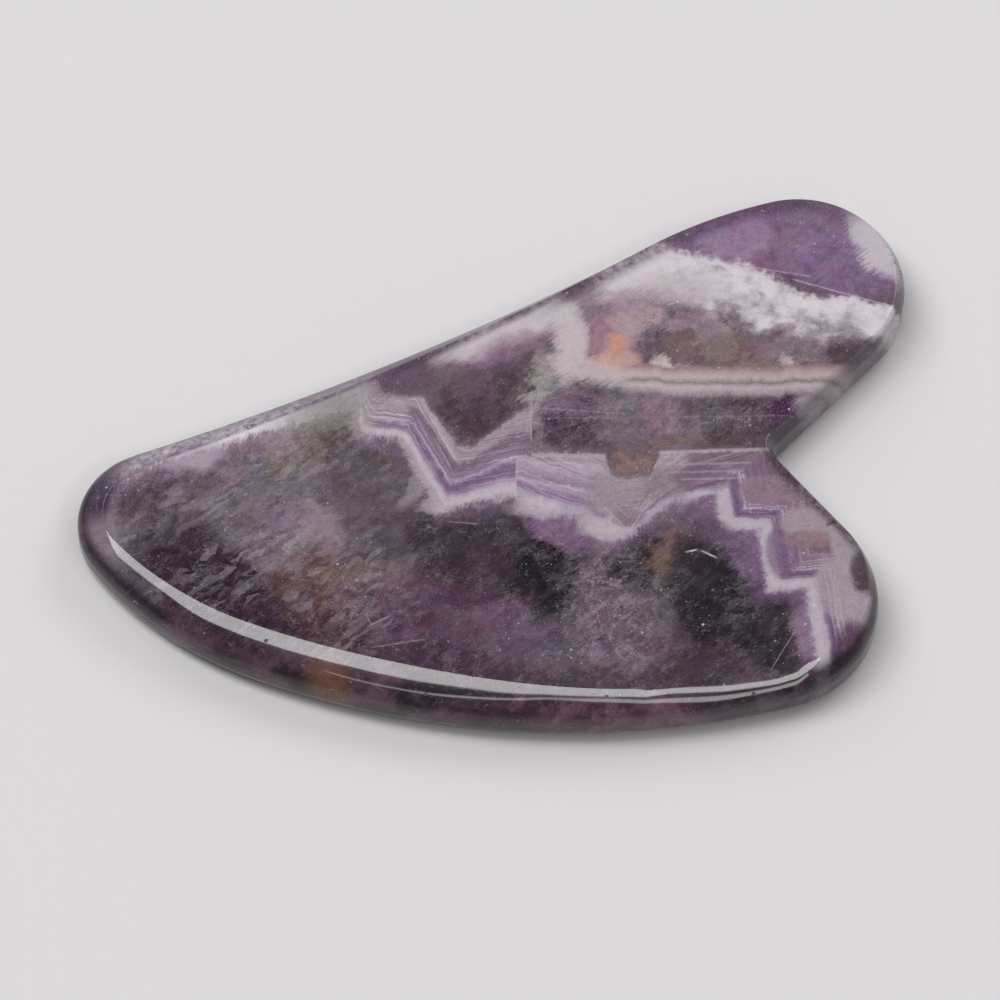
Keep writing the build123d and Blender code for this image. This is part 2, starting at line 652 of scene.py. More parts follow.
def bent(way, size, by, detail=3.0, roughness=0.58):
    """Coordinates that wander by up to about a quarter of the given lengths."""
    sockets = {"Vector": way, "Scale": 1 / size, "Detail": detail, "Roughness": roughness}
    drift = stone.value("ShaderNodeTexNoise", {}, sockets, out="Color")
    return vector("ADD", way, vector("MULTIPLY", vector("SUBTRACT", drift, (0.5, 0.5, 0.5)), by))


strands = noise(mapped(P, (0, 0, 0), strand_turn, (strand_long, strand_thin, 1.0)), 1.0, 3.0, 0.62) - 0.5
fray_along = strands * 2.6
fray_across = strands * 2.0
cloud_P = vector("ADD", bent(P, 6.0, (9.0, 8.0, 4.0), 6.0, 0.66), combine(fray_along, fray_across, 0))
band_P = bent(P, 1.6, (0.8, 0.8, 0.5))
wisp_P = bent(P, 2.2, (2.6, 2.6, 1.5), 4.0)
shard_P = bent(band_P, 3.0, (1.7, 1.7, 1.0), 3.0)
mixed_P = bent(band_P, 4.0, (3.4, 3.4, 2.0), 5.0)
band_X, band_Y = split(band_P)[:2]
tell("bent coordinates")

# %% [markdown]
# ## Zones of smoky, clear and purple quartz
# Between the bands, the stone is a patchwork of soft zones, each with its own tint. The clear zones are
# near black, and that dark is painted shade, standing for the dark that clear stone lets through. One noise
# can't place them, so each zone is a soft ellipsoid with a name, a place, a reach, a turn and a colour.
# They are laid over each other in turn, and the bent coordinates hide their round shapes.


# %% Lay soft zones
zone_depth = 9.0
sinking = depth / zone_depth
sinking = sinking * sinking


def blob(way, x, y, reach_x, reach_y, turn, softness, share):
    """A mask that reaches its share in the middle of an ellipsoid and fades out across its rim."""
    c = math.cos(math.radians(turn))
    s = math.sin(math.radians(turn))
    from_middle = vector("SUBTRACT", way, (x, y, 0))
    lengthwise = dot(from_middle, (c / reach_x, s / reach_x, 0))
    crosswise = dot(from_middle, (-s / reach_y, c / reach_y, 0))
    spread = lengthwise.math("MULTIPLY_ADD", crosswise, crosswise, sinking)
    spread = lengthwise.math("MULTIPLY_ADD", lengthwise, lengthwise, spread)
    return spread.rise((1 + softness) ** 2, (1 - softness) ** 2, share)


def lay(under, way, zones, softness):
    """Lays a list of zones over a colour, one after the other."""
    for name, x, y, reach_x, reach_y, turn, code, share in zones:
        under = mix(under, colour(code), blob(way, x, y, reach_x, reach_y, turn, softness, share))
    return under


# %% Name the stone's own tones, from dark to pale
ink = "090609"
clear_brown = "1b1413"
clear_black = "1b151a"
clear_dark = "261c25"
deep_purple = "2b1228"
belly_purple = "361d32"
royal_purple = "3c143e"
heart = "31272e"
heart_purple = "392734"
square_purple = "432e45"
wine_brown = "472b2c"
wine = "4a3942"
dusk_grey = "524049"
dusk = "52364c"
dusk_violet = "544357"
slate = "584b54"
brown = "5c3d3e"
olive_dark = "5e5147"
slate_violet = "5f4b5c"
violet_smoke = "644b5f"
smoke_grey = "675c66"
smoke = "685766"
smoke_rose = "6b565d"
violet_grey = "6f576d"
veil = "70636f"
smoke_brown = "745e5a"
violet = "745a76"
olive = "755741"
seam_smoke = "796462"
lobe_violet = "7b5f7b"
lobe_deep = "7d6384"
mauve_grey = "7f6c75"
bright_violet = "81627f"
lilac_grey = "8b7882"
rose_violet = "8c6d84"
olive_grey = "8d7a7b"
lobe_haze = "937597"
rose = "967285"
rose_grey = "998090"
column_grey = "9d9493"
rose_pale = "ae999f"
print("darkest and palest tone:", ink, rose_pale)

# %% Lay the quartz, zone by zone
# name, x, y, reach x, reach y, turn, colour, share
# the darkest zones, in ink and the clear tones, are painted shade: the dark that clear quartz lets through
quartz_zones = [
    ("smoky tail", -40.3, -10.5, 4.5, 6.0, 0, veil, 0.9),
    ("grey shards", -33.0, -4.0, 6.0, 4.5, 30, smoke, 0.8),
    ("tail hollow", -38.0, -5.5, 3.0, 3.5, 30, wine, 0.8),
    ("shard shade", -31.0, -6.4, 4.6, 2.2, 38, wine, 0.75),
    ("upper shard shade", -28.6, -3.8, 2.8, 1.8, 0, wine, 0.7),
    ("veil shade", -25.6, -11.2, 3.4, 2.4, 20, dusk_grey, 0.7),
    ("deep purple", -31.5, -16.0, 8.5, 5.5, -30, deep_purple, 0.95),
    ("purple by the crest", -25.5, -20.5, 7.0, 3.8, -20, deep_purple, 0.95),
    ("middle veil", -25.0, -6.5, 6.5, 7.0, 40, veil, 0.9),
    ("lilac haze", -18.5, -11.0, 5.5, 4.5, 40, lilac_grey, 0.85),
    ("brown fleck", -19.5, -17.0, 5.0, 4.0, 60, brown, 0.85),
    ("olive fleck", -15.5, -18.0, 3.0, 4.2, 0, olive, 0.65),
    ("upper olive", -21.0, 0.5, 4.0, 4.0, 0, olive_grey, 0.8),
    ("upper smoke", -17.8, 2.7, 3.2, 4.5, 0, olive_dark, 0.8),
    ("slate", -13.5, -4.0, 4.5, 7.0, 15, slate, 0.9),
    ("lower slate", -10.5, -11.5, 5.0, 5.5, 0, slate, 0.85),
    ("grey lilac", -11.0, -20.0, 5.5, 5.0, 0, smoke_rose, 0.85),
    ("low brown", -16.5, -23.8, 4.5, 2.8, -15, wine_brown, 0.85),
    ("dark heart", -1.0, -12.0, 8.0, 5.0, 0, heart, 0.95),
    ("dark heart below", 1.0, -16.5, 8.0, 4.0, 0, heart_purple, 0.9),
    ("purple glow", -5.5, -21.5, 7.5, 4.0, -5, dusk, 0.9),
    ("second glow", 3.0, -23.0, 4.5, 3.5, 0, violet_smoke, 0.85),
    ("black quartz", 7.4, -16.0, 4.6, 5.6, 0, ink, 0.97),
    ("violet foot", 6.0, -25.5, 4.0, 2.5, 0, dusk_violet, 0.8),
    ("grey cloud", 13.4, -19.6, 3.6, 5.0, 10, slate_violet, 0.9),
    ("lilac cloud", 13.2, -14.2, 2.8, 3.0, 0, slate_violet, 0.8),
    ("foot cloud", 16.5, -25.5, 7.0, 3.6, 0, slate_violet, 0.9),
    ("foot shade", 8.0, -30.4, 13.0, 2.0, 2, heart_purple, 0.75),
    ("black gap", 17.2, -14.3, 3.2, 4.5, 0, clear_brown, 0.95),
    ("brown window", 20.4, -14.3, 2.6, 4.2, 0, smoke_brown, 0.85),
    ("clear window", 26.0, -19.5, 6.0, 8.5, 15, clear_black, 0.97),
    ("clear roof", 24.0, -13.5, 3.8, 3.0, 0, clear_dark, 0.9),
    ("violet wedge", 28.2, -13.0, 2.6, 3.8, 20, violet, 0.8),
    ("clear corner", 31.0, -23.8, 3.8, 5.0, 20, clear_dark, 0.9),
    ("foot violet", 22.5, -28.2, 4.5, 3.0, 0, heart_purple, 0.8),
    ("belly shade", -6.0, -27.3, 8.5, 2.4, -8, belly_purple, 0.85),
    ("peak smoke", -10.5, 9.5, 3.0, 3.0, 0, smoke_rose, 0.9),
    ("peak grey", -6.5, 8.5, 4.5, 4.5, 0, smoke_grey, 0.95),
    ("peak dark", -1.0, 5.5, 5.0, 5.0, 20, wine, 0.97),
    ("peak violet", 0.5, 10.0, 4.5, 3.5, 20, slate_violet, 0.9),
    ("peak wall", 2.9, 6.5, 2.0, 6.0, 0, wine, 0.85),
    ("peak lilac", 3.0, 13.2, 3.5, 2.2, 25, slate_violet, 0.85),
    ("column", 6.2, 6.5, 2.0, 6.5, 0, column_grey, 0.9),
    ("square dark", 9.5, 2.6, 4.5, 3.0, 0, square_purple, 0.95),
    ("square violet", 9.5, 6.2, 3.8, 1.8, 0, violet_grey, 0.9),
    ("square side", 13.8, 4.0, 2.8, 3.5, 0, veil, 0.85),
    ("rose", 12.3, 16.4, 4.2, 3.8, 20, rose, 0.9),
    ("rose top", 10.5, 19.2, 2.8, 2.2, 20, lilac_grey, 0.9),
    ("pale rose", 16.9, 17.0, 3.2, 3.2, 0, rose_pale, 0.85),
    ("dark rose", 20.5, 15.2, 3.0, 2.8, 30, dusk_violet, 0.9),
    ("violet seam", 23.5, 16.5, 4.0, 2.0, -10, rose_grey, 0.85),
    ("smoky seam", 28.0, 13.2, 8.5, 2.4, 0, seam_smoke, 0.92),
    ("grey seam", 34.5, 14.0, 4.5, 1.9, 0, mauve_grey, 0.85),
    ("knot", 39.3, 13.2, 2.3, 1.4, 0, wine, 0.95),
    ("glow under the slip", 7.4, -10.8, 3.6, 1.6, -14, bright_violet, 0.85),
    ("lobe violet", 32.0, 29.0, 13.0, 5.5, 0, lobe_violet, 1.0),
    ("lobe haze", 27.5, 28.3, 4.0, 3.0, 20, lobe_haze, 0.85),
    ("lobe deep", 39.5, 25.0, 6.0, 4.5, -20, lobe_deep, 0.9),
    ("under violet", 21.0, 5.0, 3.6, 2.8, 0, rose_violet, 0.9),
    ("under dark", 25.8, 4.8, 4.5, 3.0, 0, slate, 0.9),
    ("under smoke", 30.8, 5.4, 3.8, 4.5, 0, dusk_grey, 0.92),
    ("under deep", 33.9, 5.5, 2.3, 4.5, 0, royal_purple, 0.92),
    ("under low", 27.0, 1.3, 8.0, 1.6, 0, dusk_grey, 0.9),
    ("under red", 20.5, 1.2, 3.5, 1.1, 0, seam_smoke, 0.8),
    ("side purple", 38.5, -24.0, 3.6, 5.5, 10, rose_grey, 0.9),
    ("side grey", 35.5, -3.5, 4.5, 4.5, -40, lilac_grey, 0.9),
]
plain_quartz = "63525e"
stone_colour = lay(colour(plain_quartz), cloud_P, quartz_zones, softness=0.36)
print("quartz zones:", len(quartz_zones))

# %% [markdown]
# ## Strands, wisps and flakes
# Inside a zone the quartz is still not plain. Needles, healed cracks and tiny faults run through it, mostly
# slanting, and they crowd together in some places. A noise that is drawn out along one direction gives
# such strands. One measure, the strength, says how busy each place is, and the upper lobe is left calm.


# %% A first tint, and where the quartz is busy
def textured(under, level, lighter, darker):
    """Lightens a colour where a noise is high and darkens it where it is low."""
    under = mix(under, colour("cdc0cc"), (level - 0.5).most(0.0) * lighter)
    return mix(under, colour("0d080d"), (0.5 - level).most(0.0) * darker)


tint_sockets = {"Vector": cloud_P, "Scale": 0.30, "Detail": 3.0, "Roughness": 0.5}
tints = stone.value("ShaderNodeTexNoise", {}, tint_sockets, out="Color")
stone_colour = mix(stone_colour, tints, 0.35, "SOFT_LIGHT")

# name, x, y, reach x, reach y, turn
busy_places = [
    ("tail shards", -35.0, -4.0, 6.0, 6.0, 30),
    ("low shards", -27.0, -14.0, 7.0, 5.0, 35),
    ("upper feathers", -21.0, 1.0, 7.0, 4.0, 20),
    ("feathers by the crest", -15.5, -20.5, 6.5, 5.5, -20),
    ("grey cloud", 13.2, -20.5, 5.0, 8.0, 10),
    ("broken square", 9.0, 6.0, 7.0, 4.5, 0),
    ("under the seam", 26.0, 5.5, 9.0, 3.5, 0),
]
busy = noise(P, 5.0, 3.0).rise(0.46, 0.64) * 0.8
for name, x, y, reach_x, reach_y, turn in busy_places:
    busy = busy.most(blob(wisp_P, x, y, reach_x, reach_y, turn, softness=0.5, share=1.0))
calm = blob(P, 34.0, 27.0, 13.0, 6.5, turn=-10, softness=0.5, share=1.0)
strength = (busy * 0.8 + 0.2) * (1.0 - calm * 0.7)
print("busy places:", len(busy_places))

# %% Weave strands, wisps and clouds into the quartz
long_strands = noise(mapped(cloud_P, (3, 0, 0), 36, (1.9, 0.26, 1.0)), 1.0, 4.0, 0.68)
cross_strands = noise(mapped(cloud_P, (0, 7, 0), 68, (1.3, 0.30, 1.0)), 1.0, 4.0, 0.68)
patches = noise(P, 5.0, 2.0).rise(0.42, 0.58)
woven = cross_strands + (long_strands - cross_strands) * patches
stone_colour = textured(stone_colour, woven, strength * 0.46, strength * 1.9)
steep_wisps = noise(mapped(shard_P, (0, 0, 0), 46, (1.7, 0.70, 1.0)), 1.0, 5.0, 0.68)
flat_wisps = noise(mapped(shard_P, (3, 0, 0), -14, (1.4, 0.70, 1.0)), 1.0, 5.0, 0.68)
wisps = flat_wisps + (steep_wisps - flat_wisps) * noise(P, 7.0, 1.0).rise(0.40, 0.55)
stone_colour = textured(stone_colour, wisps, strength * 0.50, strength * 2.2)
clouds = noise(cloud_P, 2.6, 4.0, 0.60)
stone_colour = textured(stone_colour, clouds, calm * 0.2 + 0.20, 1.6)
tell("strands, wisps and clouds")


# %% Scatter shards and flakes
def cell_dice(way, per_mm, softness):
    """Random numbers for the cell that a place falls in, blended across the cells' rims."""
    settings = {"feature": "SMOOTH_F1", "voronoi_dimensions": "2D"}
    sockets = {"Vector": way, "Scale": per_mm, "Randomness": 1.0, "Smoothness": softness}
    cells = stone.node("ShaderNodeTexVoronoi", settings, sockets)
    return split(Value(stone, cells.outputs["Color"]))


shards = cell_dice(mapped(shard_P, (0, 0, 0), 38, (2.0, 0.66, 1.0)), per_mm=1.0, softness=0.30)
shard_share = strength * (plan_x.rise(-2.0, -12.0) * 0.6 + 0.4)
stone_colour = mix(stone_colour, colour("a99dac"), shards[0].rise(0.58, 0.95) * shard_share * 0.26)
stone_colour = mix(stone_colour, colour("15101a"), shards[1].rise(0.58, 0.95) * shard_share * 0.32)
crystalline = blob(P, 13.5, -20.5, 5.0, 8.0, turn=10, softness=0.5, share=1.0)
flakes = cell_dice(cloud_P, per_mm=1.6, softness=0.2)
stone_colour = mix(stone_colour, colour("aca0ac"), flakes[0].rise(0.5, 1.0) * crystalline * 0.30)
tell("shards and flakes")

# %% [markdown]
# ## The chevron
# Each pulse of growth followed the points of the crystals below it. So one zigzag line marks where the
# white layer began and a second one where the last layer ended, and every layer between them is a share of
# the way from one to the other. Each line is a chain of straight strokes, written as one sum of ramps that
# set in at its corners. The zigzag is read in a turned frame, in which no stroke runs backwards.


# %% Zigzag lines as sums of ramps
def turned(x, y, turn):
    """A place in a frame that is turned by an angle. It works on numbers and on sockets."""
    c = math.cos(math.radians(turn))
    s = math.sin(math.radians(turn))
    return x * c + y * s, y * c - x * s


def zigzag(along, corners, turn):
    """The height of a line of straight strokes at each place along it."""
    places = [turned(x, y, turn) for x, y in corners]
    height = places[0][1]
    slope = 0.0
    for (start, low), (end, high) in zip(places, places[1:]):
        new_slope = (high - low) / (end - start)
        height = (along - start).most(0.0) * (new_slope - slope) + height
        slope = new_slope
    return height - (along - places[-1][0]).most(0.0) * slope


def hairs(turn, thin=0.10, long=1.4):
    """Noise drawn out into hairs that run across a layer."""
    return noise(mapped(band_P, (0, 0, 0), turn, (thin, long, 0.7)), 1.0, 4.0, 0.66) - 0.5


def ramp(share, stops):
    """A colour that changes with a share, through stops of a place and a colour code."""
    chosen = [(place, colour(code)) for place, code in stops]
    return stone.value("ShaderNodeValToRGB", {"stops": chosen}, {"Fac": share}, out="Color")


def growth_lines(under, into, along, per_mm, past_white, pale, pale_from, pale_share, dark_share):
    """Rules fine pale and dark lines along the layers that came after the white one."""
    lines = noise(combine(into * per_mm, along * 0.08, depth * 0.1), 1.0, 3.0, 0.62)
    under = mix(under, colour(pale), lines.rise(pale_from, 0.68) * past_white * pale_share)
    return mix(under, colour("5b4861"), lines.rise(0.47, 0.33) * past_white * dark_share)


# %% Where the chevron's white layer begins, and where its last one ends
chevron_turn = -15
white_line = [
    (-15.6, 14.0), (-14.7, 6.9), (-14.3, 2.2), (-9.6, 1.5), (-5.1, -7.6), (2.7, -5.9), (5.5, -7.6),
    (10.7, -9.4), (12.4, -11.6), (15.4, -11.1), (19.8, -7.0), (25.2, -5.4),
]
left_end_line = [
    (-13.6, 11.5), (-12.0, 7.6), (-7.5, 6.9), (-5.6, 3.6), (-3.6, 0.4), (-2.0, 0.2), (3.6, 5.2),
]
right_end_line = [(2.0, -0.3), (12.6, -0.8), (13.4, -3.6), (17.6, -3.6), (18.8, -0.5), (25.5, -0.2)]
left_slip_x = 2.9
right_slip_x = 4.6
slip_height = -0.9
chevron_end = (25.6, 25.0)
print("corners of the white line:", len(white_line))

# %% Find how far each place lies into the chevron
along, across = turned(band_X, band_Y, chevron_turn)
hair_down = hairs(-8)
hair_left = hairs(-64)
left_stroke = band_X.rise(-3.2, -5.4) * band_X.rise(-10.8, -9.4)
hair = hair_down + (hair_left - hair_down) * left_stroke
lumps = noise(P, 0.9, 4.0, 0.6) - 0.5
white_at = zigzag(along, white_line, chevron_turn)
past_slip = (plan_x - Y.above(slip_height) * (right_slip_x - left_slip_x)).above(left_slip_x)
left_end = zigzag(along, left_end_line, chevron_turn)
right_end = zigzag(along, right_end_line, chevron_turn)
end_at = left_end + (right_end - left_end) * past_slip
into_bands = across - white_at
layer = into_bands / (end_at - white_at).most(0.5)
combed = layer + hair * 0.13 + lumps * 0.05
tell("ways into the chevron")

# %% The chevron's layers, from the first to the last
stack_stops = [
    (0.00, "a298a0"), (0.06, "bcb1bc"), (0.14, "bcb1bc"), (0.20, "978997"), (0.26, "776780"),
    (0.34, "84748a"), (0.40, "b6aab6"), (0.46, "a195a2"), (0.50, "8f808f"), (0.54, "b0a4af"),
    (0.58, "998a95"), (0.75, "a0959d"), (0.90, "aaa2a5"), (1.00, "a89da2"),
]
middle_stops = [
    (0.00, "a69ba5"), (0.08, "bbb1ba"), (0.16, "b6a7b5"), (0.22, "94809a"), (0.29, "775f7d"),
    (0.36, "70587a"), (0.41, "87708c"), (0.45, "a895aa"), (0.49, "89718b"), (0.60, "7f697e"),
    (0.69, "745f70"), (0.75, "7c6a79"), (0.81, "978895"), (0.87, "9c8d99"), (0.93, "94878f"),
    (1.00, "a3959d"),
]
right_stops = [
    (0.00, "9b8da0"), (0.08, "a89ca9"), (0.18, "a699a8"), (0.24, "886f8e"), (0.31, "8d7491"),
    (0.38, "a08da2"), (0.44, "b0a2b2"), (0.50, "8f7d91"), (0.60, "9b869b"), (0.72, "a998aa"),
    (0.84, "aea0ad"), (0.91, "968a95"), (1.00, "a79ca4"),
]
chevron_colour = mix(ramp(combed, middle_stops), ramp(combed, right_stops), past_slip)
chevron_colour = mix(chevron_colour, ramp(combed, stack_stops), band_X.rise(-8.6, -9.8))
past_white = layer.rise(0.16, 0.24)
chevron_colour = growth_lines(
    chevron_colour, into_bands, along, 3.4, past_white, "cfc4cf",
    pale_from=0.52, pale_share=0.5, dark_share=0.45,
)
tell("chevron layers")

# %% Lay the chevron, with a milky haze at its foot
in_chevron = (into_bands + hair * 3.6 + lumps * 2.4 + left_stroke * 0.8).rise(-0.8, 0.5)
in_chevron = in_chevron * (layer + hair * 0.22 + lumps * 0.15).rise(1.06, 0.97) * plan_x.rise(*chevron_end)
milk = (into_bands + hair * 5.0 + lumps * 2.0).rise(-3.6, 0.4) * layer.rise(1.20, 0.95)
milk = milk * plan_x.rise(*chevron_end)
stone_colour = mix(stone_colour, colour("836c88"), milk * 0.55)
stone_colour = mix(stone_colour, chevron_colour, in_chevron * 0.96)

# name, x, y, reach x, reach y, turn, colour, share
chevron_zones = [
    ("dissolved bands", 13.2, -5.6, 2.4, 2.6, 0, "8d8289", 0.75),
    ("dissolved bands below", 12.6, -10.0, 2.2, 1.5, 0, "b3a8ae", 0.8),
    ("grey wedge", 15.2, -8.4, 1.5, 1.2, 0, mauve_grey, 0.8),
    ("hazy end", 19.6, -4.4, 3.8, 2.2, 25, "7b7172", 0.7),
    ("fringe on the left", -8.0, -4.4, 1.0, 3.0, -28, "aba0ac", 0.4),
    ("fringe at the tooth", -6.4, -7.6, 1.4, 1.0, 0, "b8adb8", 0.5),
    ("fringe on the right", 5.0, -7.4, 2.6, 1.3, 0, "c2b7c2", 0.6),
]
stone_colour = lay(stone_colour, mixed_P, chevron_zones, softness=0.4)
tell("chevron")

# %% [markdown]
# ## The stairs of the lower lobe
# In the lower lobe the same layers go down in steps. They could be a part of the chevron, but the steps
# turn back on themselves in its frame, so they have a line and a frame of their own.

# %% Find how far each place lies into the stairs
stairs_turn = -45
stair_line = [
    (14.0, -9.0), (24.8, -5.6), (25.3, -10.3), (29.4, -10.5), (30.3, -18.4), (34.4, -18.0),
    (35.6, -27.5), (36.4, -36.0),
]
stair_u, stair_v = turned(band_X, band_Y, stairs_turn)
stair_hair = hairs(-48)
into_stairs = stair_v - zigzag(stair_u, stair_line, stairs_turn)
stair_reach = 8.0
stair_layer = into_stairs / stair_reach + stair_hair * 0.05 + lumps * 0.03
tell("ways into the stairs")

# %% The stairs' layers, laid with their own haze
stair_stops = [
    (0.00, "96899a"), (0.04, "aca1ac"), (0.14, "b5abb5"), (0.25, "ada2ad"), (0.29, "87768c"),
    (0.34, "6c5674"), (0.40, "694f70"), (0.44, "775f7d"), (0.465, "836b85"), (0.50, "b7a9b7"),
    (0.53, "6f5870"), (0.565, "b0a2b0"), (0.60, "7d6378"), (0.72, "897183"), (0.85, "7d6678"),
    (1.00, "75606c"),
]
in_stairs = (into_stairs + stair_hair * 2.6 + lumps * 1.6).rise(-0.6, 0.4)
in_stairs = in_stairs * plan_x.rise(20.8, 23.0) * Y.rise(0.4, -0.4)
stair_milk = (into_stairs + stair_hair * 4.5 + lumps * 2.0).rise(-3.8, 0.3)
stair_milk = stair_milk * plan_x.rise(21.0, 24.0) * Y.rise(0.6, -0.8)
stone_colour = mix(stone_colour, colour("785d7b"), stair_milk * 0.66)
stair_colour = ramp(stair_layer + lumps * 0.05 + stair_hair * 0.06, stair_stops)
past_white = stair_layer.rise(0.27, 0.36)
stair_colour = growth_lines(
    stair_colour, into_stairs, stair_u, 2.6, past_white, "cabfca",
    pale_from=0.53, pale_share=0.4, dark_share=0.35,
)
stone_colour = mix(stone_colour, stair_colour, in_stairs * 0.96)

# name, x, y, reach x, reach y, turn, colour, share
stair_zones = [
    ("grey step", 23.6, -3.6, 3.4, 1.6, 0, violet_grey, 0.7),
    ("under the step", 24.2, -10.4, 2.2, 1.6, 0, dusk_violet, 0.6),
    ("mauve square", 30.0, -5.2, 2.5, 1.9, 0, "876f7c", 0.9),
    ("mauve roof", 30.5, -2.2, 3.5, 1.1, 0, violet_grey, 0.6),
    ("stair violet", 32.2, -13.0, 1.8, 3.4, 0, violet, 0.75),
    ("rose lens", 35.6, -9.6, 3.6, 2.2, -8, "9d8c95", 0.9),
    ("tan lens", 35.0, -11.6, 3.0, 1.1, 0, "866b71", 0.75),
    ("side cloud", 39.0, -12.0, 1.5, 4.0, 10, "9e9499", 0.8),
    ("side haze", 38.0, -18.0, 2.2, 4.0, 10, "a2979e", 0.75),
    ("clear lens", 41.3, -16.2, 1.7, 3.0, 10, wine, 0.9),
    ("low cloud", 40.6, -20.4, 1.9, 2.0, 10, "a0929d", 0.8),
    ("low side", 40.2, -27.5, 2.6, 5.0, 10, "502f4a", 0.85),
    ("flank cloud", 36.5, -6.0, 1.4, 3.0, 45, "a59aa3", 0.8),
    ("flank mauve", 38.6, -7.6, 0.9, 2.4, 45, smoke_rose, 0.7),
]
stone_colour = lay(stone_colour, band_P, stair_zones, softness=0.25)
tell("stairs")

# %% [markdown]
# ## Milky quartz
# White quartz is full of tiny bubbles. It lies as a thick cloud across the upper lobe, as a rim along the
# back edge and in patches between. The cloud and the rim are bounded by zigzag lines, like the bands. The
# cloud and the patches are read in the strongly bent coordinates, which makes them billow, and the rim in
# the nearly straight ones.

# %% The cloud band of the upper lobe
cloud_X, cloud_Y = split(mixed_P)[:2]
cloud_top_line = [
    (10.0, 26.0), (18.3, 27.2), (26.3, 25.5), (31.8, 23.0), (34.4, 21.0), (40.4, 20.0), (46.5, 18.0),
]
cloud_low_line = [
    (10.0, 20.5), (18.0, 21.0), (22.3, 20.4), (24.5, 18.6), (28.8, 16.4), (32.5, 14.9), (39.0, 14.4),
    (46.0, 13.6),
]
cloud_top = zigzag(cloud_X, cloud_top_line, 0)
cloud_low = zigzag(cloud_X, cloud_low_line, 0)
cloud_level = (cloud_Y - cloud_low) / (cloud_top - cloud_low)
folds = noise(mapped(mixed_P, (0, 0, 0), -14, (3.4, 0.9, 1.0)), 1.0, 3.0, 0.5)
puffs = noise(mixed_P, 2.6, 4.0, 0.5)
in_cloud = (cloud_level + (puffs - 0.5) * 0.9 + lumps * 0.12).rise(-0.15, 0.42)
in_cloud = in_cloud * (cloud_level + lumps * 0.4).rise(1.10, 0.92) * plan_x.rise(10.0, 17.0)
cloud_paleness = (puffs * 0.75 + folds * 0.25 + cloud_level * 0.14 + lumps * 0.10).rise(0.40, 0.68)
cloud_white = mix(colour("a3989e"), colour("d6ced3"), cloud_paleness)
stone_colour = mix(stone_colour, cloud_white, in_cloud * 0.95)
tell("cloud band")

# %% The white rim along the back
back_line = [
    (-46, -5.0), (-41.2, -2.4), (-37.8, -0.1), (-34.4, 1.0), (-31.1, 2.0), (-26.3, 3.8), (-22.6, 4.9),
    (-18.6, 6.2), (-14.8, 7.4), (-8.0, 11.5),
]
back_gap = band_Y - zigzag(band_X, back_line, 0)
comb = hairs(-12, 0.16, 1.6)
back_rim = (back_gap + comb * 2.4 + lumps * 1.6).rise(-2.4, -1.2) * plan_x.rise(-12.0, -15.0)
back_rim = back_rim * (plan_x.rise(-42.0, -37.0) * 0.6 + 0.4)
back_pink = (back_gap + comb * 6.0 + lumps * 2.0).rise(-5.4, -1.4) * plan_x.rise(-20.0, -24.0)
stone_colour = mix(stone_colour, colour("937b92"), back_pink * 0.7)
rim_white = mix(colour("a0969a"), colour("d8d0d6"), plan_x.rise(-17.0, -24.0))
stone_colour = mix(stone_colour, rim_white, back_rim * 0.95)
past_rim = back_gap.rise(1.0, 2.2) * plan_x.rise(-14.0, -18.0)
stone_colour = mix(stone_colour, colour("917794"), past_rim * 0.5)
tell("white rim")

# %% Milky patches
# name, x, y, reach x, reach y, turn, colour, share
milky_patches = [
    ("back mauve", -9.3, 9.6, 3.4, 2.4, 25, slate_violet, 0.85),
    ("back veil", -32.6, -0.4, 3.0, 1.6, 20, "b2a4b2", 0.65),
    ("peak roof", 1.6, 15.6, 7.0, 1.7, 24, "c5bbc0", 0.95),
    ("peak roof end", 6.6, 18.6, 2.2, 2.4, 20, "beb5ba", 0.95),
    ("peak roof haze", 2.0, 13.6, 5.5, 1.3, 24, rose_violet, 0.6),
    ("column cap", 8.9, 14.4, 1.5, 4.4, -6, "c1b7ba", 0.9),
    ("column foot", 12.2, 10.5, 4.2, 1.8, -8, "bbafb1", 0.9),
    ("seam milk", 19.5, 9.7, 6.5, 1.3, 0, "beabab", 0.75),
    ("rose foot", 14.0, 12.0, 2.4, 1.2, 0, "c89f90", 0.8),
    ("lobe milk", 16.2, 23.8, 4.6, 3.1, 25, "cfc6cb", 0.9),
    ("lobe milk below", 21.2, 21.4, 4.4, 2.0, 0, "beb3b7", 0.75),
    ("lobe rim", 43.4, 27.0, 1.6, 4.6, 28, "c8bfc7", 0.85),
    ("seam puff", 19.3, 11.0, 0.9, 1.4, 30, "d0bdbd", 0.7),
    ("seam puff end", 33.6, 11.4, 0.7, 1.3, 35, "bdb1af", 0.7),
    ("stack left", -14.3, 4.4, 1.3, 2.6, 0, "a69d9b", 0.6),
    ("olive milk", -19.0, 5.0, 4.5, 2.0, 20, "908c8a", 0.6),
    ("milk gap", 16.0, 20.2, 2.4, 1.4, 10, rose_grey, 0.6),
    ("notch rim", 36.2, 6.8, 1.8, 1.8, 0, "a89ba3", 0.7),
    ("tail milk", -42.8, -10.5, 1.4, 4.5, 10, "8c7c88", 0.6),
]
milky_P = vector("ADD", mixed_P, combine(strands * 2.2, strands * 1.8, 0))
stone_colour = lay(stone_colour, milky_P, milky_patches, softness=0.5)
print("milky patches:", len(milky_patches))

# %% [markdown]
# ## Seams, slips and rust
# Where two growths met, the stone has a straight seam of thin pale layers. Veins, edges and scratches are
# finer and straighter still, so they are read in the coordinates that aren't bent at all. At two slips the
# crystal broke and shifted a little, and iron left an orange spot and a brown window.

